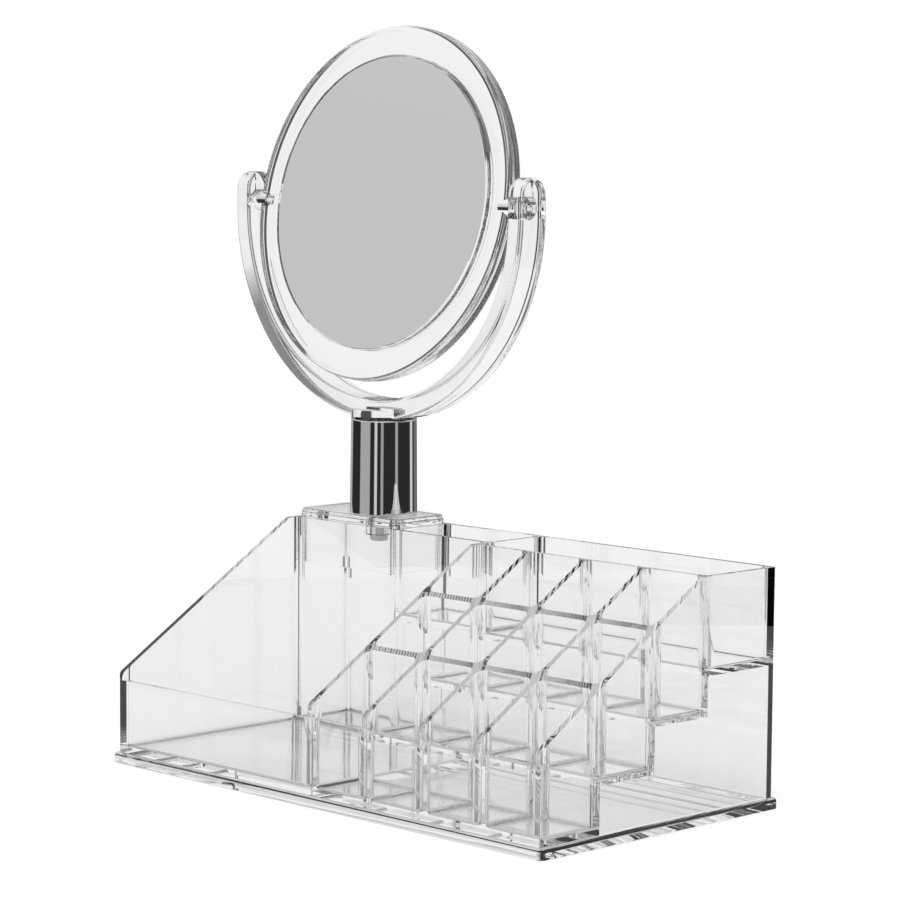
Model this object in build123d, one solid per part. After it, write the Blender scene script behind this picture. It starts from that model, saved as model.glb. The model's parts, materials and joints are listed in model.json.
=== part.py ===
from build123d import *
import math
import os

# Clear plastic cosmetics organiser with a lift-out, two-sided swivel mirror.
# Millimetres. X runs along the front from left to right, Y from front to back, Z up.
# The origin is the middle of the base plate's underside.

# ---- organiser body ----
body_length = 225.0          # along X, over the walls
body_depth = 121.0           # along Y, over the walls
body_height = 84.0           # full wall height above the base plate
wall = 2.2
floor_thickness = 2.2
corner_radius = 1.2          # outer vertical corners
pocket_radius = 3.0          # vertical corners inside each compartment
pocket_floor_radius = 1.5    # where a compartment's floor meets its walls

front_height = 28.0          # front wall
slope_angle = 31.8           # side walls and dividers, degrees from level
slope_round = 4.0            # rounding at both ends of the slope
rack_slope_setback = 1.2     # the rack's slope reaches full height this far before its back wall
tray_slope_setback = 4.0     # the same for the left wall and the wall behind the open tray

# ---- stepped rack of slots ----
columns = 4
rows = 3
column_pitch = 28.65
row_pitch = 27.8
row_step = 16.8              # rise of the floor from one row to the next
back_floor = 48.2            # underside of the back compartments' floor

# ---- back row on the left ----
socket_length = 54.4         # inside the mirror's socket box, along X

# ---- base plate ----
base_height = 4.0
base_lip = 1.8               # how far the plate stands proud of the walls
base_corner_radius = 2.4
base_edge_radius = 1.6

# ---- mirror stand ----
stem_offset = 6.6            # stem axis to the right of the plug's middle
plug_flange = 2.3            # lower plate, which rests on the socket's walls
plug_step = 1.3              # raised upper plate
plug_step_inset = 0.5
plug_overlap = 1.3           # how far the plate covers the socket's walls
plug_rim = 1.1               # plate left in front of and behind the sleeve
plug_skirt_depth = 18.0
plug_skirt_wall = 1.8
plug_clearance = 0.3         # skirt to socket, each side
plug_spigot_height = 3.0
plug_edge_radius = 0.5

sleeve_height = 37.4
sleeve_radius_low = 13.4
sleeve_radius_high = 13.0
sleeve_edge_radius = 0.4
sleeve_wall = 1.4
sleeve_clearance = 0.1       # stem to sleeve bore

stem_wall = 3.0
stem_core_top_gap = 4.0      # solid plastic left between the core and the stem's top
screw_post_radius = 3.8

screw_radius = 1.9
screw_length = 24.0
screw_head_radius = 3.9
screw_head_height = 2.4
screw_head_edge_radius = 1.0
screw_point = 1.2            # bevel at the screw's end
screw_recess_length = 3.6
screw_recess_width = 0.8
screw_recess_depth = 1.2
screw_boss_radius = 5.6
screw_boss_height = 5.0
screw_hole_clearance = 0.2
screw_grip = 0.02            # pilot wall outside the thread

# ---- yoke ----
yoke_ring_gap = 3.0          # ring to yoke
yoke_width = 8.0             # radial
yoke_depth = 13.8            # along Y
yoke_edge_radius = 1.4
yoke_arm_below = 3.5         # straight part of each arm below the pivot
yoke_arm_above = 11.5        # and above it
yoke_end_radius = 6.7
pivot_hole_depth = 3.4       # blind hole in each arm's inner face
lead_in_width = 6.0          # groove from the arm's top down to the hole
lead_in_depth = 1.4

# ---- mirror ----
ring_width = 12.2            # clear band outside the glass
ring_thickness = 8.0
ring_edge_radius = 2.6
glass_radius = 58.3
glass_thickness = 1.8
glass_recess = 0.4           # glass face below the ring's face
glass_clearance = 0.15
rib_width = 3.0              # inner rib that both glasses rest on
magnifier_sag = 2.2          # hollow of the magnifying face at its middle
magnifier_seat_gap = 0.03
glass_edge_bevel = 0.4
backing_thickness = 0.8
trunnion_radius = 4.4        # stands a little proud of the ring's faces
trunnion_edge_radius = 0.5
trunnion_end_gap = 0.3       # pin's end to the bottom of its hole
trunnion_inset = 1.5         # pin's inner end to the glass
trunnion_clearance = 0.06    # running fit in the yoke's hole
trunnion_end_bore = 2.0
trunnion_end_bore_depth = 3.0
mirror_tilt_deg = 10.0       # at rest the top leans back

# ---- derived places ----
left = -body_length / 2
right = body_length / 2
front = -body_depth / 2
back = body_depth / 2
slot_width = column_pitch - wall
slot_depth = row_pitch - wall
rack_left = right - wall - columns * column_pitch      # left face of the rack's first wall
rack_back = front + rows * row_pitch                   # front face of the rack's back wall
socket_width = 2 * (sleeve_radius_low + plug_rim - plug_overlap)
socket_back = back - wall
socket_front = socket_back - socket_width
tray_back = socket_front - wall                        # front face of the wall behind the tray
socket_left = left + wall
socket_right = socket_left + socket_length
body_top = base_height + body_height

plug_middle = (socket_left + socket_right) / 2
axis_x = plug_middle + stem_offset
axis_y = (socket_front + socket_back) / 2
plug_top = body_top + plug_flange + plug_step
sleeve_top = plug_top + sleeve_height
stem_radius = sleeve_radius_high - sleeve_wall - sleeve_clearance
stem_core_radius = stem_radius - stem_wall
ring_radius = glass_radius + ring_width
yoke_inner_radius = ring_radius + yoke_ring_gap
yoke_outer_radius = yoke_inner_radius + yoke_width
pivot_z = sleeve_top + yoke_outer_radius + yoke_arm_below

# a piece made upwards or downwards from its own origin
up = (Align.CENTER, Align.CENTER, Align.MIN)
down = (Align.CENTER, Align.CENTER, Align.MAX)


def box_between(x0, x1, y0, y1, z0, z1):
    """A plain block between two corners."""
    block = Box(x1 - x0, y1 - y0, z1 - z0, align=(Align.MIN, Align.MIN, Align.MIN))
    return Pos(x0, y0, z0) * block


def round_prism(length, depth, radius, height):
    """A block with rounded vertical corners, standing on its own origin."""
    return extrude(RectangleRounded(length, depth, radius), height)


def side_profile(x0, x1, slope_top_y):
    """The walls' outline seen from the side, between two X places."""
    rise = math.tan(math.radians(slope_angle))
    front_z = body_height - (slope_top_y - front) * rise
    face = make_face(Polyline(
        (front, 0), (front, front_z), (slope_top_y, body_height), (back, body_height), (back, 0),
        close=True,
    ))
    slope_ends = [v for v in face.vertices() if v.Y > 1 and v.X < back - 1]
    face = fillet(slope_ends, slope_round)
    # the sketch's X is the body's Y, and its Y is the body's Z
    plane = Plane(origin=(x0, 0, 0), x_dir=(0, 1, 0), z_dir=(1, 0, 0))
    return extrude(plane * face, x1 - x0)


def pocket(x0, x1, y0, y1, floor_z):
    """The space inside one compartment, open upwards."""
    radius = min(pocket_radius, (x1 - x0) / 2 - 0.1, (y1 - y0) / 2 - 0.1)
    space = round_prism(x1 - x0, y1 - y0, radius, body_height - floor_z + 1)
    space = fillet(space.faces().sort_by(Axis.Z)[0].edges(), pocket_floor_radius)
    return Pos((x0 + x1) / 2, (y0 + y1) / 2, floor_z) * space


def slot_edges(column, row):
    """Left, right, front and back of one slot of the rack."""
    x0 = rack_left + wall + column * column_pitch
    y0 = front + wall + row * row_pitch
    return x0, x0 + slot_width, y0, y0 + slot_depth


def make_organizer_body():
    """Outer walls, open tray, stepped rack and back row, as one moulding."""
    tray_part = side_profile(left, rack_left, tray_back - tray_slope_setback)
    rack_part = side_profile(rack_left, right, rack_back - rack_slope_setback)
    body = (tray_part + rack_part) & round_prism(body_length, body_depth, corner_radius, body_height)

    # open tray, mirror socket, small compartment
    body -= pocket(left + wall, rack_left, front + wall, tray_back, floor_thickness)
    body -= pocket(socket_left, socket_right, socket_front, socket_back, floor_thickness)
    back_floor_top = back_floor + floor_thickness
    body -= pocket(socket_right + wall, rack_left, socket_front, socket_back, back_floor_top)
    # long compartment behind the rack
    long_front = rack_back + wall
    body -= pocket(rack_left + wall, right - wall, long_front, socket_back, back_floor_top)
    # slots
    for column in range(columns):
        for row in range(rows):
            body -= pocket(*slot_edges(column, row), row * row_step + floor_thickness)

    # the front wall is lower than the side walls and the dividers
    cuts = [(left + wall, rack_left)]
    for column in range(columns):
        x0, x1, _, _ = slot_edges(column, 0)
        cuts.append((x0, x1))
    for x0, x1 in cuts:
        body -= box_between(x0, x1, front - 1, front + wall + 1, front_height, body_height)

    # hollow under the rack's steps and the back compartments, open below
    for row in range(1, rows + 1):
        y0 = front + wall + row * row_pitch
        top = row * row_step if row < rows else back_floor
        body -= box_between(rack_left + wall, right - wall, y0, socket_back, -1, top)
    body -= box_between(socket_right + wall, rack_left, socket_front, socket_back, -1, back_floor)
    return Pos(0, 0, base_height) * body


def make_base_plate():
    """Flat plate bonded under the walls, with a rounded lip all round."""
    length = body_length + 2 * base_lip
    depth = body_depth + 2 * base_lip
    plate = round_prism(length, depth, base_corner_radius, base_height)
    return fillet(plate.faces().sort_by(Axis.Z)[-1].edges(), base_edge_radius)


def make_stand_plug():
    """Stepped cap over the socket, with a skirt that fits down inside it."""
    length = socket_length + 2 * plug_overlap
    depth = socket_width + 2 * plug_overlap
    radius = pocket_radius + plug_overlap
    flange = round_prism(length, depth, radius, plug_flange)
    flange = fillet(flange.faces().sort_by(Axis.Z)[-1].edges(), plug_edge_radius)
    step = round_prism(
        length - 2 * plug_step_inset, depth - 2 * plug_step_inset, radius - plug_step_inset, plug_step
    )
    step = fillet(step.faces().sort_by(Axis.Z)[-1].edges(), plug_edge_radius)
    skirt_length = socket_length - 2 * plug_clearance
    skirt_width = socket_width - 2 * plug_clearance
    skirt_radius = pocket_radius - plug_clearance
    skirt = round_prism(skirt_length, skirt_width, skirt_radius, plug_skirt_depth)
    skirt -= round_prism(
        skirt_length - 2 * plug_skirt_wall,
        skirt_width - 2 * plug_skirt_wall,
        skirt_radius - plug_skirt_wall,
        plug_skirt_depth,
    )
    plug = Pos(plug_middle, axis_y, body_top) * flange
    plug += Pos(plug_middle, axis_y, body_top + plug_flange) * step
    plug += Pos(plug_middle, axis_y, body_top - plug_skirt_depth) * skirt
    # spigot inside the sleeve, screw boss below, screw hole through both
    plug += Pos(axis_x, axis_y, plug_top) * Cylinder(stem_radius, plug_spigot_height, align=up)
    plug += Pos(axis_x, axis_y, body_top) * Cylinder(screw_boss_radius, screw_boss_height, align=down)
    hole_radius = screw_radius + screw_hole_clearance
    plug -= Pos(axis_x, axis_y, body_top) * Cylinder(hole_radius, 4 * screw_boss_height)
    return plug


def make_chrome_sleeve():
    """Plated tube, a little wider at its foot."""
    bore = sleeve_radius_high - sleeve_wall
    profile = Polyline(
        (bore, 0), (sleeve_radius_low, 0), (sleeve_radius_high, sleeve_height), (bore, sleeve_height),
        close=True,
    )
    face = make_face(profile)
    face = fillet([v for v in face.vertices() if v.X > bore + sleeve_wall / 2], sleeve_edge_radius)
    tube = revolve(Plane.XZ * face, Axis.Z)
    return Pos(axis_x, axis_y, plug_top) * tube


def make_stem_screw():
    """Pan-head screw that draws the stem down onto the plug."""
    shank = Cylinder(screw_radius, screw_length, align=up)
    shank = chamfer(shank.faces().sort_by(Axis.Z)[-1].edges(), screw_point)
    head = Cylinder(screw_head_radius, screw_head_height, align=down)
    head = fillet(head.faces().sort_by(Axis.Z)[0].edges(), screw_head_edge_radius)
    slot = Box(screw_recess_length, screw_recess_width, 2 * screw_recess_depth)
    recess = Pos(0, 0, -screw_head_height) * (slot + Rot(0, 0, 90) * slot)
    return Pos(axis_x, axis_y, body_top - screw_boss_height) * (shank + head - recess)


def yoke_outline(radius, top_z, bottom_z):
    """U outline in the XZ plane about the pivot: two arms and a half circle."""
    arms = Line((-radius, top_z), (-radius, bottom_z))
    bowl = ThreePointArc((-radius, bottom_z), (0, bottom_z - radius), (radius, bottom_z))
    return make_face([arms, bowl, Line((radius, bottom_z), (radius, top_z)),
                      Line((radius, top_z), (-radius, top_z))])


def make_yoke():
    """U-shaped fork with eyes for the mirror's trunnions and a hollow stem below."""
    outer = yoke_outline(yoke_outer_radius, yoke_arm_above, -yoke_arm_below)
    inner = yoke_outline(yoke_inner_radius, yoke_arm_above + 1, -yoke_arm_below)
    fork = extrude(Plane.XZ * (outer - inner), yoke_depth / 2, both=True)
    # rounded arm ends, seen from the side
    ends = [e for e in fork.faces().sort_by(Axis.Z)[-2:].edges()
            if abs(abs(e.center().Y) - yoke_depth / 2) < 0.01]
    fork = fillet(ends, yoke_end_radius)
    rims = [e for f in fork.faces() if abs(abs(f.center().Y) - yoke_depth / 2) < 0.01
            for e in f.edges()]
    fork = fillet(rims, yoke_edge_radius)
    # stem with a cored middle and a screw post
    stem_length = sleeve_height - plug_spigot_height
    stem_top = -(yoke_outer_radius + yoke_arm_below)
    sink = yoke_width / 2
    stem = Pos(0, 0, stem_top + sink) * Cylinder(stem_radius, stem_length + sink, align=down)
    core = Cylinder(stem_core_radius, stem_length - stem_core_top_gap, align=up)
    core -= Cylinder(screw_post_radius, stem_length, align=up)
    stem -= Pos(0, 0, stem_top - stem_length) * core
    collar = Pos(0, 0, stem_top + sink) * Cylinder(sleeve_radius_high, sink, align=down)
    fork = fork + stem + collar
    pilot_length = screw_length - screw_boss_height - plug_flange - plug_step - plug_spigot_height + 1
    pilot = Cylinder(screw_radius + screw_grip, pilot_length, align=up)
    fork -= Pos(0, 0, stem_top - stem_length) * pilot
    # blind pivot holes and the grooves that lead the trunnions down to them
    hole_reach = yoke_inner_radius + pivot_hole_depth
    fork -= Rot(0, 90, 0) * Cylinder(trunnion_radius + trunnion_clearance, 2 * hole_reach)
    groove_reach = yoke_inner_radius + lead_in_depth
    fork -= box_between(
        -groove_reach, groove_reach, -lead_in_width / 2, lead_in_width / 2, 0, yoke_arm_above + 1
    )
    return Pos(axis_x, axis_y, pivot_z) * fork


def at_pivot(piece):
    """Tilt a mirror piece about the pivot axis and put it between the arms."""
    return Pos(axis_x, axis_y, pivot_z) * Rot(-mirror_tilt_deg, 0, 0) * piece


def make_mirror_frame():
    """Clear ring with a rebate for a glass on each face and a trunnion at each side."""
    half = ring_thickness / 2
    seat = half - glass_recess - glass_thickness
    pocket_r = glass_radius + glass_clearance
    rib_r = pocket_r - rib_width
    # the bent glass bulges a little past its rim, so the rib is lower on that side
    bulge = magnifier_sag * (1 - (rib_r / glass_radius) ** 2) + magnifier_seat_gap
    section = make_face(Polyline(
        (rib_r, bulge - seat), (pocket_r, bulge - seat), (pocket_r, -half), (ring_radius, -half),
        (ring_radius, half), (pocket_r, half), (pocket_r, seat), (rib_r, seat),
        close=True,
    ))
    section = fillet([v for v in section.vertices() if v.X > ring_radius - 0.01], ring_edge_radius)
    ring = revolve(Plane.XZ * section, Axis.Z)
    ring = Rot(90, 0, 0) * ring
    pin_end = yoke_inner_radius + pivot_hole_depth - trunnion_end_gap
    reach = pin_end - (pocket_r + trunnion_inset)
    pin = Cylinder(trunnion_radius, reach, align=down)
    pin = fillet(pin.edges().filter_by(GeomType.CIRCLE), trunnion_edge_radius)
    pin -= Cylinder(trunnion_end_bore, trunnion_end_bore_depth, align=down)
    for side in (90, -90):
        ring += Rot(0, side, 0) * Pos(0, 0, pin_end) * pin
    return at_pivot(ring)


def make_plain_mirror():
    """Flat glass on the front."""
    disc = Cylinder(glass_radius, glass_thickness, align=up)
    disc = chamfer(disc.faces().sort_by(Axis.Z)[-1].edges(), glass_edge_bevel)
    face_y = ring_thickness / 2 - glass_recess - glass_thickness
    return at_pivot(Rot(90, 0, 0) * Pos(0, 0, face_y) * disc)


def make_magnifying_mirror():
    """Bent glass of even thickness on the back, hollow outwards."""
    bend_radius = (glass_radius ** 2 + magnifier_sag ** 2) / (2 * magnifier_sag)
    blank = Pos(0, 0, -magnifier_sag) * Cylinder(
        glass_radius, glass_thickness + magnifier_sag, align=up
    )
    ball = Sphere(bend_radius)
    above = Pos(0, 0, bend_radius - magnifier_sag + glass_thickness) * ball
    below = Pos(0, 0, bend_radius - magnifier_sag) * ball
    disc = (blank & below) - above
    face_y = ring_thickness / 2 - glass_recess - glass_thickness
    return at_pivot(Rot(-90, 0, 0) * Pos(0, 0, face_y) * disc)


def make_backing_disc():
    """Thin card behind the plain glass, inside the ring's rib."""
    radius = glass_radius - rib_width - glass_clearance
    seat = ring_thickness / 2 - glass_recess - glass_thickness
    disc = Cylinder(radius, backing_thickness, align=down)
    return at_pivot(Rot(90, 0, 0) * Pos(0, 0, seat) * disc)


pieces = {
    "organizer_body": make_organizer_body,
    "base_plate": make_base_plate,
    "stand_plug": make_stand_plug,
    "chrome_sleeve": make_chrome_sleeve,
    "stem_screw": make_stem_screw,
    "yoke": make_yoke,
    "mirror_frame": make_mirror_frame,
    "plain_mirror": make_plain_mirror,
    "magnifying_mirror": make_magnifying_mirror,
    "backing_disc": make_backing_disc,
}

os.makedirs("parts", exist_ok=True)
for name, make in pieces.items():
    shape = make()
    export_step(shape, f"parts/{name}.step")
    print(name, "volume", round(shape.volume, 1))
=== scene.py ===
# %% [markdown]
# # Clear cosmetics organiser with a swivel mirror
# The object is a few large mouldings of clear plastic, a chrome sleeve and two round glasses.
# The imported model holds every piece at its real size. This file gives the pieces their finish,
# models the ring and the fork again with smoother curves, and sets up a studio around them.
# Clear plastic is drawn almost only by what it bends and mirrors, so the studio matters as much
# as the material.

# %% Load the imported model
import json
import math

import bpy
from mathutils import Matrix, Vector

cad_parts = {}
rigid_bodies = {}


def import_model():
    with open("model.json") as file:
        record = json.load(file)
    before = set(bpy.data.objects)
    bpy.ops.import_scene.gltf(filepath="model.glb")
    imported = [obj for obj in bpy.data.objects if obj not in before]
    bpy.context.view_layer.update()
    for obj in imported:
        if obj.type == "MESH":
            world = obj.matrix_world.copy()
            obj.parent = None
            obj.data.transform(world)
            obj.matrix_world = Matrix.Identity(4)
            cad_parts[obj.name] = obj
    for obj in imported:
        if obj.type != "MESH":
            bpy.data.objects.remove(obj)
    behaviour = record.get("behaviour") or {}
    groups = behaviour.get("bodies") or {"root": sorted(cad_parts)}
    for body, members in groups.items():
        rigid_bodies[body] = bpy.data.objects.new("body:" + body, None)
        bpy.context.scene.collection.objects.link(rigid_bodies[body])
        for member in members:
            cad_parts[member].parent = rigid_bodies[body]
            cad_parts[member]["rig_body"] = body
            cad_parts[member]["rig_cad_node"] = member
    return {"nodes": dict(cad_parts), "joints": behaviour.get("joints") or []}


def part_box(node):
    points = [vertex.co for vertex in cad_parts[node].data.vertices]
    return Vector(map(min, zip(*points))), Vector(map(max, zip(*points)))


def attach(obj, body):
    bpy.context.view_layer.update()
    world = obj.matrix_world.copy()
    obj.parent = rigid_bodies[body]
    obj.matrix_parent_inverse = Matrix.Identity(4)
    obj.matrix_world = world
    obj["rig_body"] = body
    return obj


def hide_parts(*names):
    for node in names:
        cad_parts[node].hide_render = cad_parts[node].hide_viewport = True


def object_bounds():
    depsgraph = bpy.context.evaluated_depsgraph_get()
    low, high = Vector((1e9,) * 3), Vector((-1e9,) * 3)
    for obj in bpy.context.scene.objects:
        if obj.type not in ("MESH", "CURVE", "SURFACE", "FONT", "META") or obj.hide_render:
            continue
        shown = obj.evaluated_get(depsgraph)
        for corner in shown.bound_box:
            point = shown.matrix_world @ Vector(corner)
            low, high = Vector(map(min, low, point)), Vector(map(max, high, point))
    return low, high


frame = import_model()
cad_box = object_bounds()
MM = 0.001
print("nodes", sorted(frame["nodes"]))
print("size of the whole, mm", [round(v * 1000, 1) for v in cad_box[1] - cad_box[0]])

# %% [markdown]
# ## Small helpers
# Operators act on whatever is selected, so each step starts by clearing the selection and
# picking one piece.

# %% Selecting and finishing a piece
def pick(piece):
    """Make one piece the only selected one, and the active one."""
    bpy.ops.object.select_all(action="DESELECT")
    piece.select_set(True)
    bpy.context.view_layer.objects.active = piece


def apply_modifier(piece, kind, **settings):
    """Add one modifier, set it and apply it."""
    pick(piece)
    modifier = piece.modifiers.new(kind.title(), kind)
    for name, value in settings.items():
        setattr(modifier, name, value)
    bpy.ops.object.modifier_apply(modifier=modifier.name)


def settle(piece):
    """Put the piece's place into its mesh, so that its object sits at the origin."""
    pick(piece)
    bpy.ops.object.transform_apply(location=True, rotation=True, scale=True)


def count(piece):
    """Triangles in a piece's mesh."""
    return sum(len(polygon.vertices) - 2 for polygon in piece.data.polygons)


# %% [markdown]
# ## Materials
# ### Moulded surface
# A clear moulding is never optically flat. Its walls are a little wavy from the way the plastic
# shrinks, and handling leaves faint hairlines that only roughen the polish here and there.
# Both go into one node group, so that each plastic piece can have its own amounts.

# %% A node group for moulded waviness and faint handling marks
def new_group(name, inputs, outputs):
    """An empty shader node group with named float inputs and outputs."""
    group = bpy.data.node_groups.new(name, "ShaderNodeTree")
    for label, value in inputs.items():
        socket = group.interface.new_socket(label, in_out="INPUT", socket_type="NodeSocketFloat")
        socket.default_value = value
    for label, kind in outputs.items():
        group.interface.new_socket(label, in_out="OUTPUT", socket_type=kind)
    start = group.nodes.new("NodeGroupInput")
    end = group.nodes.new("NodeGroupOutput")
    return group, start, end


def math_node(tree, operation, first, second):
    """A math node whose inputs are sockets or plain numbers."""
    node = tree.nodes.new("ShaderNodeMath")
    node.operation = operation
    for slot, value in ((0, first), (1, second)):
        if isinstance(value, bpy.types.NodeSocket):
            tree.links.new(value, node.inputs[slot])
        else:
            node.inputs[slot].default_value = value
    return node.outputs[0]


WAVE_RISE = 0.001             # metres from a wave's foot to its crest, before Wave depth scales it
HAIR_SCALE = (900.0, 160.0, 60.0)    # unlike along each axis, so that the marks are long and thin
HAIR_TURN = (0.3, 0.5, 0.2)
PATCH_SCALE = 40.0


def build_moulded_surface():
    """Outputs a roughness and a normal: slow waviness, plus hairlines where hands touch."""
    group, start, end = new_group(
        "moulded_surface",
        {"Polish": 0.01, "Hairlines": 0.02, "Wave size": 14.0, "Wave depth": 0.1},
        {"Roughness": "NodeSocketFloat", "Normal": "NodeSocketVector"},
    )
    nodes, links = group.nodes, group.links
    place = nodes.new("ShaderNodeTexCoord").outputs["Object"]

    waves = nodes.new("ShaderNodeTexNoise")
    waves.inputs["Detail"].default_value = 1.0
    links.new(place, waves.inputs["Vector"])
    links.new(start.outputs["Wave size"], waves.inputs["Scale"])
    bump = nodes.new("ShaderNodeBump")
    bump.inputs["Distance"].default_value = WAVE_RISE
    links.new(start.outputs["Wave depth"], bump.inputs["Strength"])
    links.new(waves.outputs["Fac"], bump.inputs["Height"])
    links.new(bump.outputs["Normal"], end.inputs["Normal"])

    stretch = nodes.new("ShaderNodeMapping")
    stretch.inputs["Scale"].default_value = HAIR_SCALE
    stretch.inputs["Rotation"].default_value = HAIR_TURN
    links.new(place, stretch.inputs["Vector"])
    hairs = nodes.new("ShaderNodeTexNoise")
    hairs.inputs["Scale"].default_value = 1.0
    links.new(stretch.outputs["Vector"], hairs.inputs["Vector"])
    patches = nodes.new("ShaderNodeTexNoise")
    patches.inputs["Scale"].default_value = PATCH_SCALE
    links.new(place, patches.inputs["Vector"])
    both = math_node(group, "MULTIPLY", hairs.outputs["Fac"], patches.outputs["Fac"])
    marks = math_node(group, "MULTIPLY", both, start.outputs["Hairlines"])
    links.new(math_node(group, "ADD", marks, start.outputs["Polish"]), end.inputs["Roughness"])
    return group


moulded_surface = build_moulded_surface()
print("group inputs", [s.name for s in moulded_surface.interface.items_tree if s.in_out == "INPUT"])

# %% [markdown]
# ### Clear plastic, chrome, glass and steel
# The plastic is a refracting solid, with an index of 1.5 and a very slight grey. A flat
# see-through colour would be quicker, but it would lose the dark lines where walls meet. Most of
# the walls' grey doesn't come from this material: it comes from the studio below, which shows a
# dimmer floor and background to rays that went through a clear wall.

# %% One function for every finish
def new_material(name, surface_inputs, **sockets):
    """A Principled material. surface_inputs are the moulded surface's own amounts."""
    material = bpy.data.materials.new(name)
    material.use_nodes = True
    tree = material.node_tree
    shader = tree.nodes["Principled BSDF"]
    for label, value in sockets.items():
        shader.inputs[label.replace("_", " ")].default_value = value
    surface = tree.nodes.new("ShaderNodeGroup")
    surface.node_tree = moulded_surface
    for label, value in surface_inputs.items():
        surface.inputs[label].default_value = value
    tree.links.new(surface.outputs["Roughness"], shader.inputs["Roughness"])
    tree.links.new(surface.outputs["Normal"], shader.inputs["Normal"])
    return material


CLEAR = {"Base_Color": (0.982, 0.984, 0.985, 1), "Transmission_Weight": 1.0, "IOR": 1.5}
clear_body = new_material(
    "clear_plastic_body",
    {"Polish": 0.0, "Hairlines": 0.03, "Wave size": 22.0, "Wave depth": 0.12},
    **CLEAR,
)
clear_mirror = new_material(
    "clear_plastic_mirror",
    {"Polish": 0.0, "Hairlines": 0.03, "Wave size": 30.0, "Wave depth": 0.10},
    **CLEAR,
)
chrome = new_material(
    "chrome_plate",
    {"Polish": 0.02, "Hairlines": 0.05, "Wave size": 60.0, "Wave depth": 0.02},
    Base_Color=(0.72, 0.72, 0.725, 1), Metallic=1.0,
)
silvering = new_material(
    "mirror_silvering",
    {"Polish": 0.0, "Hairlines": 0.012, "Wave size": 12.0, "Wave depth": 0.0},
    Base_Color=(0.9, 0.9, 0.9, 1), Metallic=1.0,
)
screw_steel = new_material(
    "screw_steel",
    {"Polish": 0.25, "Hairlines": 0.2, "Wave size": 300.0, "Wave depth": 0.1},
    Base_Color=(0.55, 0.55, 0.56, 1), Metallic=1.0,
)
card = new_material(
    "backing_card",
    {"Polish": 0.8, "Hairlines": 0.1, "Wave size": 600.0, "Wave depth": 0.2},
    Base_Color=(0.5, 0.5, 0.5, 1),
)
print("materials", [m.name for m in bpy.data.materials])

# %% [markdown]
# ## Rounded mouldings
# A mould leaves every edge a little round, and in clear plastic each rounded edge becomes a thin
# line, light on one side and dark on the other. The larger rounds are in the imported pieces. Each
# clear moulding is copied, its loose triangles are merged, flat areas are joined and cut into
# clean triangles again, and its sharp edges are bevelled. The bevel stops where the shortest edges
# would overlap. So on the body and the plate it comes out only a hundredth or two of a millimetre
# wide, much less than the width that is asked for, and those edges stay nearly sharp.

# %% Finish a clear moulding, whether it is a copy or modelled here
FACE_WEIGHT = 100                    # large faces keep their own normal almost wholly


def finish_moulding(piece, name, node, body, material, smooth_angle):
    """Smooth the faces, give the finish, join the piece to its body and hide the node that it replaces."""
    piece.name = name
    pick(piece)
    bpy.ops.object.shade_smooth_by_angle(angle=smooth_angle)
    apply_modifier(piece, "WEIGHTED_NORMAL", weight=FACE_WEIGHT, keep_sharp=True)
    piece.data.materials.clear()
    piece.data.materials.append(material)
    for face in piece.data.polygons:
        face.material_index = 0
    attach(piece, body)
    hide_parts(node)
    print(name, "triangles", count(piece))


# %% A function that bevels a copy of one node
MERGE_DISTANCE = 0.002 * MM
FLAT_ANGLE = math.radians(0.6)       # faces that turn less than this are one flat area
BEVEL_ANGLE = math.radians(35)       # edges that turn more than this are bevelled
BEVEL_SEGMENTS = 2
COPY_SMOOTH_ANGLE = math.radians(32)


def rounded_copy(node, name, body, material, width):
    """A copy of a node with merged faces and narrow round bevels on its sharp edges."""
    source = frame["nodes"][node]
    piece = source.copy()
    piece.data = source.data.copy()
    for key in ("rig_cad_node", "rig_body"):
        if key in piece:
            del piece[key]
    piece.parent = None
    bpy.context.scene.collection.objects.link(piece)
    pick(piece)
    if piece.data.has_custom_normals:
        bpy.ops.mesh.customdata_custom_splitnormals_clear()
    bpy.ops.object.mode_set(mode="EDIT")
    bpy.ops.mesh.select_all(action="SELECT")
    bpy.ops.mesh.remove_doubles(threshold=MERGE_DISTANCE)
    bpy.ops.mesh.dissolve_limited(angle_limit=FLAT_ANGLE)
    bpy.ops.mesh.quads_convert_to_tris(quad_method="BEAUTY", ngon_method="BEAUTY")
    bpy.ops.object.mode_set(mode="OBJECT")
    apply_modifier(
        piece, "BEVEL", width=width, segments=BEVEL_SEGMENTS, limit_method="ANGLE",
        angle_limit=BEVEL_ANGLE, use_clamp_overlap=True, miter_outer="MITER_ARC",
    )
    finish_moulding(piece, name, node, body, material, COPY_SMOOTH_ANGLE)
    return piece


# %% The clear pieces
rounded_copy("organizer_body", "organizer_moulding", "organizer", clear_body, 0.35 * MM)
plate = rounded_copy("base_plate", "base_moulding", "organizer", clear_body, 0.3 * MM)
plug = rounded_copy("stand_plug", "plug_moulding", "stand", clear_body, 0.25 * MM)

# %% [markdown]
# ### The mirror's ring
# The real ring is smooth and polished, and its wide round rim bends the light evenly. A
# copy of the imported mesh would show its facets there. So the ring is modelled again at the same
# size: a disc with a shoulder for a glass cut into each face, a hole through the middle, a rounded
# rim, and a pin at each side.

# %% Sizes of the ring and the fork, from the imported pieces
pivot = Vector(next(j for j in frame["joints"] if j["name"] == "mirror_tilt")["pos_m"])
glass_low, glass_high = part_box("plain_mirror")
fork_low, fork_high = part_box("yoke")
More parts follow.
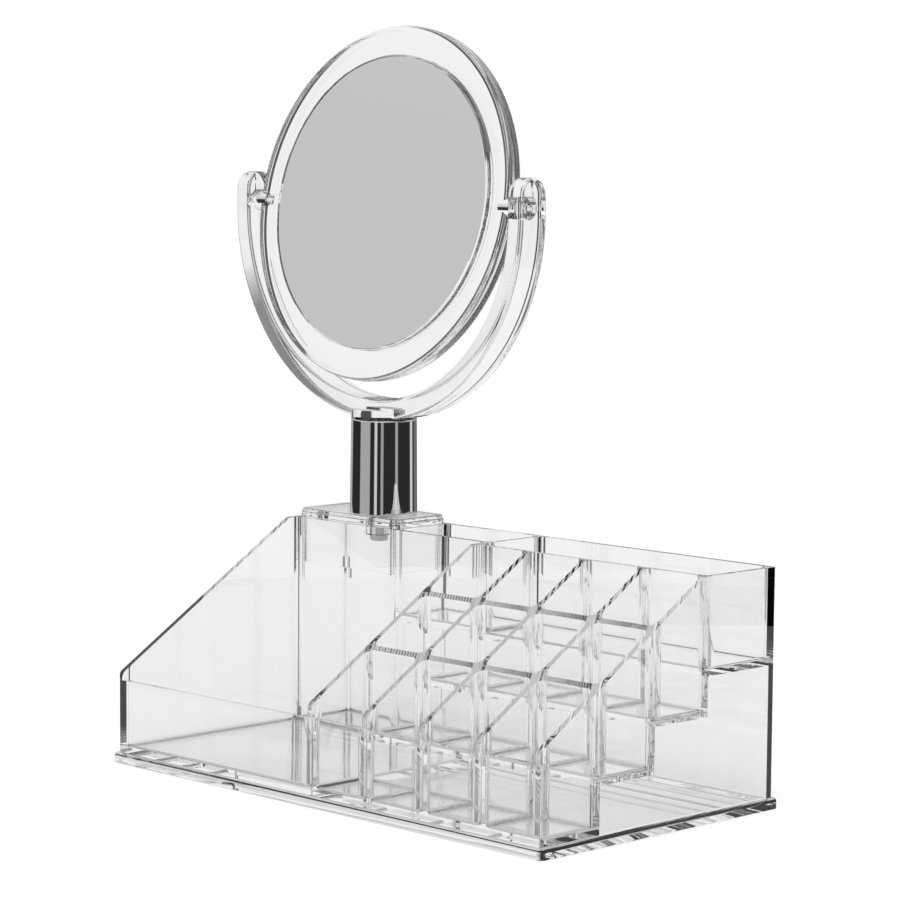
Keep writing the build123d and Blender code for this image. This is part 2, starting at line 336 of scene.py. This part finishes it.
# The glass and the fork give the radii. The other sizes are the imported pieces' own, apart from how
# far a pin reaches into the ring and the small round on the pockets' edges.
GLASS_RADIUS = (glass_high.x - glass_low.x) / 2
FORK_OUTER = (fork_high.x - fork_low.x) / 2
MIRROR_TILT = math.radians(10)
RING_BAND = 12.2 * MM
RING_THICKNESS = 8.0 * MM
RING_EDGE = 2.6 * MM
GLASS_GAP = 0.15 * MM         # round the glass, in its pocket
POCKET_RADIUS = GLASS_RADIUS + GLASS_GAP
FRONT_POCKET = 2.2 * MM
BACK_POCKET = 1.97 * MM
RIB_WIDTH = 3.0 * MM
RING_RADIUS = GLASS_RADIUS + RING_BAND
FORK_WIDTH = 8.0 * MM
FORK_INNER = FORK_OUTER - FORK_WIDTH
PIN_RADIUS = 4.4 * MM
PIN_REACH = 3.1 * MM          # how far a pin goes into the fork's arm
PIN_END = FORK_INNER + PIN_REACH
PIN_ROOT = 4.5 * MM           # how far a pin reaches into the ring from its rim
PIN_BORE = 2.0 * MM
PIN_BORE_DEPTH = 3.0 * MM
PIN_EDGE = 0.5 * MM
SMALL_EDGE = 0.25 * MM
SMOOTH_ANGLE = math.radians(23.5)    # under the crease of 24.6 where a pin leaves the ring's face
TINY = 0.01 * MM
NEAR = 0.1 * MM               # the corners of an inset circle lie within this of its radius
FACING = 0.9                  # a normal with more than this along Z counts as pointing along it
print("glass radius, fork radius, mm", round(GLASS_RADIUS / MM, 2), round(FORK_OUTER / MM, 2))


# %% Selecting faces and edges by their place
def select_faces(piece, test):
    """In edit mode, select only the faces whose middle and normal pass the test."""
    bpy.ops.mesh.select_mode(type="FACE")
    bpy.ops.mesh.select_all(action="DESELECT")
    bpy.ops.object.mode_set(mode="OBJECT")
    for face in piece.data.polygons:
        face.select = test(face.center, face.normal)
    bpy.ops.object.mode_set(mode="EDIT")


def select_edges(piece, test):
    """In edit mode, select only the edges whose two ends pass the test."""
    bpy.ops.mesh.select_mode(type="EDGE")
    bpy.ops.mesh.select_all(action="DESELECT")
    bpy.ops.object.mode_set(mode="OBJECT")
    points = piece.data.vertices
    for edge in piece.data.edges:
        edge.select = all(test(points[i].co) for i in edge.vertices)
    bpy.ops.object.mode_set(mode="EDIT")


def out_from_axis(point):
    """Distance from the Z axis."""
    return math.hypot(point.x, point.y)


def at_radius(radius):
    """A test for points that lie on a round edge of this radius."""
    return lambda point: abs(out_from_axis(point) - radius) < NEAR


def push(distance):
    """Extrude the selected faces or edges along Z."""
    bpy.ops.mesh.extrude_region_move(TRANSFORM_OT_translate={"value": (0, 0, distance)})


def combine(piece, tool, operation):
    """Union or cut with another piece, which is then deleted."""
    apply_modifier(piece, "BOOLEAN", operation=operation, object=tool, solver="MANIFOLD")
    bpy.data.objects.remove(tool, do_unlink=True)


# %% Turn the ring: two pockets, a rib between them and a round rim
RING_STEPS = 192
RIM_SEGMENTS = 8
POCKET_SEGMENTS = 3


def build_ring_body():
    """The ring lying flat, its front face up."""
    bpy.ops.object.select_all(action="DESELECT")
    bpy.ops.mesh.primitive_cylinder_add(
        vertices=RING_STEPS, radius=RING_RADIUS, depth=RING_THICKNESS, end_fill_type="NGON"
    )
    ring = bpy.context.active_object
    bpy.ops.object.mode_set(mode="EDIT")
    half = RING_THICKNESS / 2
    for side, depth in ((1, FRONT_POCKET), (-1, BACK_POCKET)):
        select_faces(
            ring, lambda middle, normal: normal.z * side > FACING and out_from_axis(middle) < TINY
        )
        bpy.ops.mesh.inset(thickness=RING_RADIUS - POCKET_RADIUS)
        push(-side * depth)
        bpy.ops.mesh.inset(thickness=RIB_WIDTH)
    hole_radius = POCKET_RADIUS - RIB_WIDTH
    select_faces(
        ring, lambda middle, normal: abs(normal.z) > FACING and out_from_axis(middle) < TINY
    )
    bpy.ops.mesh.delete(type="ONLY_FACE")
    select_edges(ring, at_radius(hole_radius))
    bpy.ops.mesh.bridge_edge_loops()
    on_rim, near_pocket = at_radius(RING_RADIUS), at_radius(POCKET_RADIUS)
    for side in (1, -1):
        select_edges(ring, lambda point: on_rim(point) and point.z * side > half - TINY)
        bpy.ops.mesh.bevel(offset=RING_EDGE, segments=RIM_SEGMENTS, profile=0.5)
    for side in (1, -1):
        select_edges(ring, lambda point: near_pocket(point) and point.z * side > half - TINY)
        bpy.ops.mesh.bevel(offset=SMALL_EDGE, segments=POCKET_SEGMENTS, profile=0.5)
    bpy.ops.mesh.select_all(action="SELECT")
    bpy.ops.mesh.normals_make_consistent(inside=False)
    bpy.ops.object.mode_set(mode="OBJECT")
    return ring


# %% [markdown]
# ### The pins
# The ring turns on two pins, moulded in one with it, that run in blind holes of the fork. They
# could be extruded from the ring, but its side is curved there. So each is a cylinder with rounded
# rims and a small hole sunk into its end, joined to the ring. It starts 4.5 mm inside the ring's
# rim, so that it doesn't show as a long rod on the ring's face.

# %% The pins at the ring's sides
PIN_STEPS = 64
PIN_SEGMENTS = 4


def build_pin(side):
    """A round pin with a small hole in its end, pointing along X to one side."""
    inner_end = RING_RADIUS - PIN_ROOT
    length = PIN_END - inner_end
    bpy.ops.object.select_all(action="DESELECT")
    bpy.ops.mesh.primitive_cylinder_add(
        vertices=PIN_STEPS, radius=PIN_RADIUS, depth=length, end_fill_type="NGON"
    )
    pin = bpy.context.active_object
    bpy.ops.object.mode_set(mode="EDIT")
    select_faces(pin, lambda middle, normal: normal.z > FACING)
    bpy.ops.mesh.inset(thickness=PIN_RADIUS - PIN_BORE)
    push(-PIN_BORE_DEPTH)
    on_side = at_radius(PIN_RADIUS)
    select_edges(pin, lambda point: on_side(point) and abs(point.z) > length / 2 - TINY)
    bpy.ops.mesh.bevel(offset=PIN_EDGE, segments=PIN_SEGMENTS, profile=0.5)
    bpy.ops.object.mode_set(mode="OBJECT")
    pin.rotation_euler = (0, side * math.pi / 2, 0)
    pin.location = (side * (inner_end + length / 2), 0, 0)
    settle(pin)
    return pin


def stand_up(piece, tilt):
    """Turn a lying piece so that its front looks forward, tilt it and take it to the pivot."""
    turn = Matrix.Rotation(math.pi / 2 - tilt, 4, "X")
    piece.matrix_world = Matrix.Translation(pivot) @ turn
    settle(piece)


ring = build_ring_body()
for side in (1, -1):
    combine(ring, build_pin(side), "UNION")
stand_up(ring, MIRROR_TILT)
finish_moulding(ring, "ring_moulding", "mirror_frame", "mirror", clear_mirror, SMOOTH_ANGLE)

# %% [markdown]
# ### The fork that carries the ring
# The fork is one bar with rounded corners, bent to a half circle with a short straight arm at each
# end. So its cross-section is drawn once, spun half a turn for the bowl, drawn out for the arms,
# and spun again about the pivot's direction for the round ends.

# %% Bend the bar
FORK_DEPTH = 13.8 * MM
FORK_CORNER = 1.4 * MM
CORNER_SEGMENTS = 6
ARM_BELOW = 3.5 * MM
ARM_ABOVE = 11.5 * MM
SEAM_DISTANCE = 0.005 * MM
BOWL_STEPS = 128
END_STEPS = 24


def build_fork_bar():
    """The bar about the pivot, standing, with Z up."""
    middle = (FORK_OUTER + FORK_INNER) / 2
    bpy.ops.object.select_all(action="DESELECT")
    bpy.ops.mesh.primitive_plane_add(size=1, location=(-middle, 0, -ARM_BELOW))
    bar = bpy.context.active_object
    bar.scale = (FORK_WIDTH, FORK_DEPTH, 1)
    settle(bar)
    bpy.ops.object.mode_set(mode="EDIT")
    bpy.ops.mesh.select_all(action="SELECT")
    bpy.ops.mesh.bevel(
        offset=FORK_CORNER, segments=CORNER_SEGMENTS, profile=0.5, affect="VERTICES"
    )
    bpy.ops.mesh.select_all(action="SELECT")
    bpy.ops.mesh.bisect(plane_co=(0, 0, 0), plane_no=(0, 1, 0))
    bpy.ops.mesh.select_all(action="SELECT")
    bpy.ops.mesh.delete(type="ONLY_FACE")
    select_edges(bar, lambda point: abs(point.y) < TINY)
    bpy.ops.mesh.delete(type="EDGE")
    bpy.ops.mesh.select_all(action="SELECT")
    bpy.ops.mesh.spin(steps=BOWL_STEPS, angle=math.pi, center=(0, 0, -ARM_BELOW), axis=(0, 1, 0))
    end_middle = ARM_ABOVE - FORK_DEPTH / 2
    select_edges(bar, lambda point: point.z > -ARM_BELOW - TINY)
    push(end_middle + ARM_BELOW)
    select_edges(bar, lambda point: point.z > end_middle - TINY and point.y > -TINY)
    bpy.ops.mesh.spin(steps=END_STEPS, angle=-math.pi, center=(0, 0, end_middle), axis=(1, 0, 0))
    bpy.ops.mesh.select_all(action="SELECT")
    bpy.ops.mesh.remove_doubles(threshold=SEAM_DISTANCE)
    bpy.ops.mesh.normals_make_consistent(inside=False)
    bpy.ops.object.mode_set(mode="OBJECT")
    return bar


# %% [markdown]
# ### The stem
# The stem stands inside the chrome sleeve, so its inside doesn't show. It is taken to be hollow,
# because thick plastic sinks as it cools, with a post in the middle that the screw bites into. It
# starts as the collar under the bowl, and the rest is insets and extrusions of the face below.

# %% The stem under the bowl, hollow below
STEM_STEPS = 96
STEM_RADIUS = 11.5 * MM
STEM_WALL = 3.0 * MM
COLLAR_RADIUS = 13.0 * MM
COLLAR_HEIGHT = FORK_WIDTH / 2
CORE_TOP_GAP = 4.0 * MM
POST_RADIUS = 3.8 * MM
PILOT_RADIUS = 1.92 * MM
PILOT_DEPTH = 13.4 * MM
stem_top = -(FORK_OUTER + ARM_BELOW)
stem_length = stem_top - (fork_low.z - pivot.z)
print("stem length, mm", round(stem_length / MM, 2))


def build_stem():
    """A collar with a stem under it. The stem is hollow, with a post for the screw."""
    bpy.ops.object.select_all(action="DESELECT")
    bpy.ops.mesh.primitive_cylinder_add(
        vertices=STEM_STEPS, radius=COLLAR_RADIUS, depth=COLLAR_HEIGHT, end_fill_type="NGON",
        location=(0, 0, stem_top + COLLAR_HEIGHT / 2),
    )
    stem = bpy.context.active_object
    settle(stem)
    bpy.ops.object.mode_set(mode="EDIT")
    select_faces(stem, lambda middle, normal: normal.z < -FACING)
    bpy.ops.mesh.inset(thickness=COLLAR_RADIUS - STEM_RADIUS)
    push(-stem_length)
    bpy.ops.mesh.inset(thickness=STEM_WALL)
    bpy.ops.mesh.inset(thickness=STEM_RADIUS - STEM_WALL - POST_RADIUS)
    bpy.ops.mesh.inset(thickness=POST_RADIUS - PILOT_RADIUS)
    push(PILOT_DEPTH)
    foot = stem_top - stem_length
    core_radius = STEM_RADIUS - STEM_WALL
    select_faces(
        stem,
        lambda middle, normal: middle.z < foot + TINY and POST_RADIUS < out_from_axis(middle) < core_radius,
    )
    push(stem_length - CORE_TOP_GAP)
    bpy.ops.mesh.select_all(action="SELECT")
    bpy.ops.mesh.normals_make_consistent(inside=False)
    bpy.ops.object.mode_set(mode="OBJECT")
    return stem


# %% [markdown]
# ### Where the pins run
# The holes are blind: they don't come out on the arms' outer sides. A shallow groove leads down to
# each one from the arm's top, for the pins to slide in along while the arms are sprung apart. Both
# are cut with a plain tool shape, which is easier than cutting by hand into a rounded bar.

# %% Blind holes for the pins, with the grooves that lead down to them
PIN_CLEARANCE = 0.06 * MM
HOLE_DEPTH = 3.4 * MM
GROOVE_DEPTH = 1.4 * MM
GROOVE_WIDTH = 6.0 * MM
GROOVE_OVERSHOOT = 1 * MM     # the tool stands this far above the arms
HOLE_RADIUS = PIN_RADIUS + PIN_CLEARANCE
HOLE_REACH = FORK_INNER + HOLE_DEPTH
GROOVE_REACH = FORK_INNER + GROOVE_DEPTH


def build_hole_tool():
    """A round bar through both holes."""
    bpy.ops.object.select_all(action="DESELECT")
    bpy.ops.mesh.primitive_cylinder_add(
        vertices=PIN_STEPS, radius=HOLE_RADIUS, depth=2 * HOLE_REACH, rotation=(0, math.pi / 2, 0)
    )
    settle(bpy.context.active_object)
    return bpy.context.active_object


def build_groove_tool():
    """A flat bar from the pivot up past the arms' ends."""
    rise = ARM_ABOVE + GROOVE_OVERSHOOT
    bpy.ops.object.select_all(action="DESELECT")
    bpy.ops.mesh.primitive_cube_add(size=1, location=(0, 0, rise / 2))
    tool = bpy.context.active_object
    tool.scale = (2 * GROOVE_REACH, GROOVE_WIDTH, rise)
    settle(tool)
    return tool


fork = build_fork_bar()
combine(fork, build_stem(), "UNION")
combine(fork, build_hole_tool(), "DIFFERENCE")
combine(fork, build_groove_tool(), "DIFFERENCE")
fork.location = pivot
settle(fork)
finish_moulding(fork, "yoke_moulding", "yoke", "stand", clear_mirror, SMOOTH_ANGLE)

# %% [markdown]
# ### Air between the pieces
# Two clear pieces that lie on each other still have a film of air between them, and that film is
# what makes the joint visible. The touching faces of the plate and the plug are drawn back by a
# few hundredths of a millimetre.

# %% Draw touching faces back
AIR_FILM = 0.04 * MM


def draw_back(piece, level, shift):
    """Move the vertices that lie at one height by a small shift along Z."""
    moved = 0
    for vertex in piece.data.vertices:
        if abs(vertex.co.z - level) < TINY:
            vertex.co.z += shift
            moved += 1
    print(piece.name, "vertices drawn back", moved)


draw_back(plate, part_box("base_plate")[1].z, -AIR_FILM)
draw_back(plug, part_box("organizer_body")[1].z, AIR_FILM)

# %% [markdown]
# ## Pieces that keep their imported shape
# The sleeve, the screw, the two glasses and the card are simple round pieces, so their packed
# meshes stay. They only get a finish: plated chrome, steel, silver for both glasses, and grey card.
# Both glasses are silver all over, with no clear layer in front of the silver.

# %% Finishes of the other nodes
def finish_node(node, material):
    """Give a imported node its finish."""
    piece = frame["nodes"][node]
    piece.data.materials.clear()
    piece.data.materials.append(material)
    print(node, "is finished in", material.name)


finish_node("chrome_sleeve", chrome)
finish_node("stem_screw", screw_steel)
finish_node("plain_mirror", silvering)
finish_node("magnifying_mirror", silvering)
finish_node("backing_disc", card)

# %% [markdown]
# ## The studio
# The picture is high key: the camera sees white behind and below. A ray that went through clear
# plastic meets something else: a slightly dimmer background, with eight dark cards round the
# object, which draw the edges that throw it sideways as dark lines. From the photo's angle a ray
# that passes straight through goes between two cards. From some other angles, such as 20 degrees
# round, a card lies straight behind, and the ring and the plug turn dark grey.

# %% Ramps of grey
def ramp_node(tree, stops, source):
    """A grey ramp: stops are (place from 0 to 1, brightness)."""
    node = tree.nodes.new("ShaderNodeValToRGB")
    elements = node.color_ramp.elements
    elements[0].position, elements[1].position = stops[0][0], stops[-1][0]
    for place, _ in stops[1:-1]:
        elements.new(place)
    for element, (place, value) in zip(elements, stops):
        element.position = place
        element.color = (value, value, value, 1)
    tree.links.new(source, node.inputs["Fac"])
    return node.outputs["Color"]


def band_stops(panels, base, soft):
    """Ramp stops for panels given as (centre in degrees, width in degrees, brightness)."""
    stops = [(0.0, base)]
    for centre, width, value in sorted(panels):
        low, high = (centre - width / 2 + 180) / 360, (centre + width / 2 + 180) / 360
        stops += [(low - soft / 360, base), (low, value), (high, value), (high + soft / 360, base)]
    return stops + [(1.0, base)]


# %% [markdown]
# ### Light panels
# Polished chrome has no colour of its own to speak of: its stripes are the room's. A few light
# panels in a dark room give them. Real lamps could stand there instead, but they would light the
# floor too, and a band painted on the world is easier to place.

# %% What gloss mirrors
MIRRORED_BASE = 0.03         # the dark room between the light panels
# Each panel is (centre, width, brightness), in degrees round the object from +X towards +Y. The
# camera stands at -45. They were placed so that the sleeve shows stripes like the real one's.
MIRRORED_PANELS = [
    (-112, 38, 0.5),
    (-71, 7, 0.8),
    (-49, 7, 0.45),
    (2, 7, 0.5),
    (68, 12, 0.8),
    (100, 26, 0.2),
    (159, 38, 0.5),
]
PANEL_SOFT = 2               # soft edge of a panel, in degrees
SKY_LOW = 0.6                # the grey that gloss mirrors above the panels
SKY_HIGH = 0.95              # the ceiling that it mirrors
# Heights run from 0, straight down, to 1, straight up, and the horizon is at 0.5. Each pair says
# where one grey begins to change and where it has become the next.
PANELS_TO_SKY = (0.512, 0.528)
SKY_TO_CEILING = (0.62, 0.8)
print("light panels", len(MIRRORED_PANELS))

# %% [markdown]
# ### Dark cards
# A photographer draws the edges of clear things with black cards that stand just out of view. An
# edge throws the light from the side, so there it shows a card.

# %% What rays meet that went through clear plastic
CARD_COUNT = 8               # cards that bent rays meet, evenly round the object
CARD_SHARE = 0.34            # of the way round that they cover
CARD_GREY = 0.06
CARD_SOFT = 0.06             # soft edge of a card, as a share of the way to the next one
BENT_WHITE = 0.91            # between the cards; dimmer than the white that the camera sees
OVERHEAD_GREY = 0.25         # what a bent ray meets far above or below
BELOW_TO_CARDS = (0.0, 0.25)
CARDS_TO_ABOVE = (0.68, 0.8)
print("degrees that each card covers", 360 * CARD_SHARE / CARD_COUNT)

# %% [markdown]
# ### One world for four kinds of ray
# The world can tell what kind of ray asks for its colour. The camera's own rays get white, matt
# surfaces get plain light, gloss gets the panels, and rays through clear plastic get the cards.

# %% Put the world together
FILL_LIGHT = 0.9             # what lights matt surfaces


def mix(tree, factor, first, second):
    """Mix two colours, each a socket or a grey value."""
    node = tree.nodes.new("ShaderNodeMix")
    node.data_type = "RGBA"
    for label, value in (("Factor", factor), ("A", first), ("B", second)):
        socket = next(s for s in node.inputs if s.name == label and s.enabled)
        if isinstance(value, bpy.types.NodeSocket):
            tree.links.new(value, socket)
        else:
            socket.default_value = value if label == "Factor" else (value, value, value, 1)
    return next(s for s in node.outputs if s.enabled)


def build_world():
    """White for the camera, plain light on matt surfaces, panels for gloss, cards for bent rays."""
    world = bpy.data.worlds.new("studio")
    bpy.context.scene.world = world
    world.use_nodes = True
    tree = world.node_tree
    shader = tree.nodes["Background"]
    direction = tree.nodes.new("ShaderNodeTexCoord").outputs["Generated"]
    axes = tree.nodes.new("ShaderNodeSeparateXYZ")
    tree.links.new(direction, axes.inputs[0])
    turn = math_node(tree, "ARCTAN2", axes.outputs["Y"], axes.outputs["X"])
    round_place = math_node(tree, "ADD", math_node(tree, "DIVIDE", turn, 2 * math.pi), 0.5)
    height = math_node(tree, "ADD", math_node(tree, "MULTIPLY", axes.outputs["Z"], 0.5), 0.5)

    # reflections: panels up to just above the horizon, an even grey above, a pale ceiling
    around = ramp_node(tree, band_stops(MIRRORED_PANELS, MIRRORED_BASE, PANEL_SOFT), round_place)
    start, end = PANELS_TO_SKY
    above = ramp_node(tree, [(0.0, 0.0), (start, 0.0), (end, 1.0), (1.0, 1.0)], height)
    start, end = SKY_TO_CEILING
    sky = ramp_node(tree, [(0.0, SKY_LOW), (start, SKY_LOW), (end, SKY_HIGH), (1.0, SKY_HIGH)], height)
    mirrored = mix(tree, above, around, sky)

    # bent rays: nearly white all round, with dark cards, and dark far above and below
    share = math_node(tree, "FRACT", math_node(tree, "MULTIPLY", round_place, CARD_COUNT), 0.0)
    low, high = 0.5 - CARD_SHARE / 2, 0.5 + CARD_SHARE / 2
    one_card = [
        (low - CARD_SOFT, BENT_WHITE), (low, CARD_GREY), (high, CARD_GREY), (high + CARD_SOFT, BENT_WHITE)
    ]
    stops = [(0.0, BENT_WHITE)] + one_card + [(1.0, BENT_WHITE)]
    cards = ramp_node(tree, stops, share)
    (dark, clear), (start, end) = BELOW_TO_CARDS, CARDS_TO_ABOVE
    over = ramp_node(tree, [(dark, 1.0), (clear, 0.0), (start, 0.0), (end, 1.0), (1.0, 1.0)], height)
    bent = mix(tree, over, cards, OVERHEAD_GREY)

    path = tree.nodes.new("ShaderNodeLightPath")
    light = mix(tree, path.outputs["Is Glossy Ray"], FILL_LIGHT, mirrored)
    light = mix(tree, path.outputs["Is Transmission Ray"], light, bent)
    light = mix(tree, path.outputs["Is Camera Ray"], light, 1.0)
    tree.links.new(light, shader.inputs["Color"])
    print("world nodes", len(tree.nodes))


build_world()

# %% [markdown]
# ### The floor
# A pale disc that gives off light of its own, so that the camera sees it as white as the
# background and it still takes a faint shadow. It glows less for rays that went through a clear
# wall. That is a choice for this picture and not how paper behaves. Together with the dimmer
# background it gives the clear walls most of their grey, so under other light they look paler.

# %% The floor: pale, with the object's faint shadow
FLOOR_RADIUS = 0.55
FLOOR_SIDES = 96
FLOOR_DROP = 0.2 * MM        # the base stands this far above it, so that the two don't meet
FLOOR_GREY = 0.35
FLOOR_ROUGHNESS = 0.9
FLOOR_GLOW = 0.7             # with the light that falls on it, the floor is just white
FLOOR_GLOW_BEHIND = 0.50     # the same floor, met by a ray that went through a clear wall


def build_floor():
    """A round pale floor just under the base."""
    bpy.ops.object.select_all(action="DESELECT")
    bpy.ops.mesh.primitive_circle_add(
        vertices=FLOOR_SIDES, radius=FLOOR_RADIUS, fill_type="NGON", location=(0, 0, -FLOOR_DROP)
    )
    floor = bpy.context.active_object
    floor.name = "studio_floor"
    material = bpy.data.materials.new("floor_paper")
    material.use_nodes = True
    shader = material.node_tree.nodes["Principled BSDF"]
    shader.inputs["Base Color"].default_value = (FLOOR_GREY, FLOOR_GREY, FLOOR_GREY, 1)
    shader.inputs["Roughness"].default_value = FLOOR_ROUGHNESS
    shader.inputs["Specular IOR Level"].default_value = 0.0
    shader.inputs["Emission Color"].default_value = (1, 1, 1, 1)
    tree = material.node_tree
    behind = tree.nodes.new("ShaderNodeLightPath").outputs["Is Transmission Ray"]
    less = math_node(tree, "MULTIPLY", behind, FLOOR_GLOW - FLOOR_GLOW_BEHIND)
    glow = math_node(tree, "SUBTRACT", FLOOR_GLOW, less)
    tree.links.new(glow, shader.inputs["Emission Strength"])
    floor.data.materials.append(material)
    print("floor radius, m", FLOOR_RADIUS)


build_floor()

# %% [markdown]
# ### The lamp
# One broad lamp above and in front gives the matt floor a soft direction. It is hidden from the
# camera, from reflections and from rays through clear plastic, so no bright disc shows in them.

# %% One broad soft lamp
def add_lamp(name, place, target, size, watts):
    """An area lamp that points at a target."""
    data = bpy.data.lights.new(name, "AREA")
    data.shape = "DISK"
    data.size = size
    data.energy = watts
    lamp = bpy.data.objects.new(name, data)
    lamp.location = place
    lamp.rotation_euler = (Vector(target) - Vector(place)).to_track_quat("-Z", "Y").to_euler()
    bpy.context.scene.collection.objects.link(lamp)
    lamp.visible_camera = False
    lamp.visible_glossy = False
    lamp.visible_transmission = False
    print(name, "watts", watts)


LAMP_PLACE = (0.3, -0.5, 1.2)
LAMP_SIZE = 0.9
LAMP_WATTS = 6.0
centre = (cad_box[0] + cad_box[1]) / 2
add_lamp("soft_top", LAMP_PLACE, centre, LAMP_SIZE, LAMP_WATTS)

# %% [markdown]
# ## The camera
# The place and the angle were worked out from the object's straight edges in the photo: a long
# lens more than a metre away, level with the mirror, looking down by about six degrees.

# %% Place the camera
CAMERA_PLACE = (0.8365, -0.8208, 0.2447)
CAMERA_TURN = math.radians(45.32)
CAMERA_DIP = math.radians(5.81)
CAMERA_ROLL = math.radians(0.45)
LENS_MM = 127.5
SENSOR_MM = 36.0


def place_camera():
    """A camera at the photo's angle."""
    data = bpy.data.cameras.new("camera")
    data.sensor_width = SENSOR_MM
    data.lens = LENS_MM
    camera = bpy.data.objects.new("camera", data)
    turn = Matrix.Rotation(CAMERA_TURN, 4, "Z")
    dip = Matrix.Rotation(math.pi / 2 - CAMERA_DIP, 4, "X")
    roll = Matrix.Rotation(CAMERA_ROLL, 4, "Z")
    camera.matrix_world = Matrix.Translation(CAMERA_PLACE) @ turn @ dip @ roll
    bpy.context.scene.collection.objects.link(camera)
    bpy.context.scene.camera = camera
    print("camera to the object's middle, m", round((camera.matrix_world.translation - centre).length, 2))


CLEAR_BOUNCES = 32           # a ray crosses many clear walls before it gets out
GLOSSY_BOUNCES = 16
place_camera()
scene = bpy.context.scene
scene.view_settings.view_transform = "Standard"
scene.cycles.max_bounces = CLEAR_BOUNCES
scene.cycles.transmission_bounces = CLEAR_BOUNCES
scene.cycles.glossy_bounces = GLOSSY_BOUNCES
